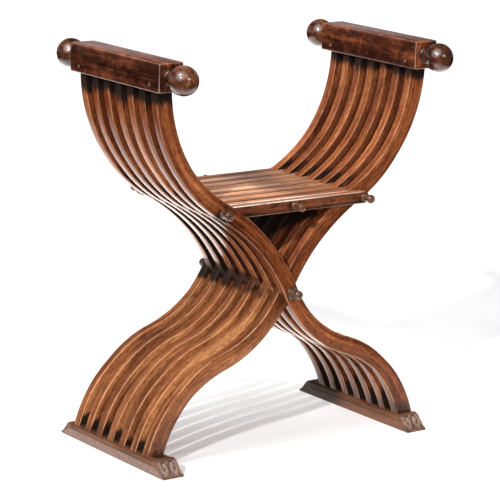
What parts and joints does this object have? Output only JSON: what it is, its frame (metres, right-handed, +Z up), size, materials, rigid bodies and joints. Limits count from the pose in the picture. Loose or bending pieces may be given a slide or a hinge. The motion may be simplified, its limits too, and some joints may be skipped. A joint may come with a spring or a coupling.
{
  "type": "folding stool",
  "caption": "Slatted X-frame folding stool with arms: two sets of S-curved wooden slats cross on a pivot rod under a hinged slat seat, with ball-ended arm rails and toed runners.",
  "frame": {"origin": "on the floor, in the middle between the runners and in the middle of the slats' depth", "axes": "+Z up, +X from the left arm to the right arm, +Y from the front to the back, along the rods"},
  "size_m": [0.6206, 0.4164, 0.7211],
  "materials": {
    "slat_wood": "waxed red-brown walnut",
    "seat_wood": "worn waxed walnut",
    "arm_wood": "dark polished walnut",
    "runner_wood": "dull worn walnut",
    "rod_wood": "turned walnut",
    "peg_wood": "dark end grain"
  },
  "bodies": {
    "right_frame": {"right_slat_1": "slat_wood", "right_slat_2": "slat_wood", "right_slat_3": "slat_wood", "right_slat_4": "slat_wood", "right_slat_5": "slat_wood", "right_slat_6": "slat_wood", "right_slat_7": "slat_wood", "right_arm": "arm_wood", "right_ball_front": "arm_wood", "right_ball_back": "arm_wood", "right_arm_peg_1": "peg_wood", "right_arm_peg_2": "peg_wood", "right_arm_peg_3": "peg_wood", "left_runner": "runner_wood", "pivot_rod": "rod_wood", "pivot_rod_knob": "rod_wood", "right_seat_rod": "rod_wood", "right_seat_rod_knob": "rod_wood"},
    "left_frame": {"left_slat_1": "slat_wood", "left_slat_2": "slat_wood", "left_slat_3": "slat_wood", "left_slat_4": "slat_wood", "left_slat_5": "slat_wood", "left_slat_6": "slat_wood", "left_slat_7": "slat_wood", "left_arm": "arm_wood", "left_ball_front": "arm_wood", "left_ball_back": "arm_wood", "left_arm_peg_1": "peg_wood", "left_arm_peg_2": "peg_wood", "left_arm_peg_3": "peg_wood", "right_runner": "runner_wood", "left_seat_rod": "rod_wood", "left_seat_rod_knob": "rod_wood"},
    "right_seat": {"right_seat_board_1": "seat_wood", "right_seat_board_2": "seat_wood", "right_seat_board_3": "seat_wood", "right_seat_board_4": "seat_wood", "right_seat_board_5": "seat_wood", "right_seat_board_6": "seat_wood", "right_seat_board_7": "seat_wood", "centre_seat_rod": "rod_wood", "centre_seat_rod_knob": "rod_wood"},
    "left_seat": {"left_seat_board_1": "seat_wood", "left_seat_board_2": "seat_wood", "left_seat_board_3": "seat_wood", "left_seat_board_4": "seat_wood", "left_seat_board_5": "seat_wood", "left_seat_board_6": "seat_wood", "left_seat_board_7": "seat_wood"}
  },
  "joints": [
    {"name": "fold", "type": "hinge", "parent": "right_frame", "child": "left_frame", "pos_m": [0, 0, 0.28769], "axis": [0, 1, 0], "range_deg": [0, 44]},
    {"name": "right_seat_hinge", "type": "hinge", "parent": "right_frame", "child": "right_seat", "pos_m": [0.1556, 0, 0.44583], "axis": [0, 1, 0], "range_deg": [0, 79.4]},
    {"name": "centre_seat_hinge", "type": "hinge", "parent": "right_seat", "child": "left_seat", "pos_m": [0, 0, 0.44583], "axis": [0, 1, 0], "range_deg": [-114.3, 0]}
  ],
  "couplings": [
    {"joint": "right_seat_hinge", "follows": "fold", "ratio": 1.7926},
    {"joint": "centre_seat_hinge", "follows": "fold", "ratio": -2.5853}
  ]
}
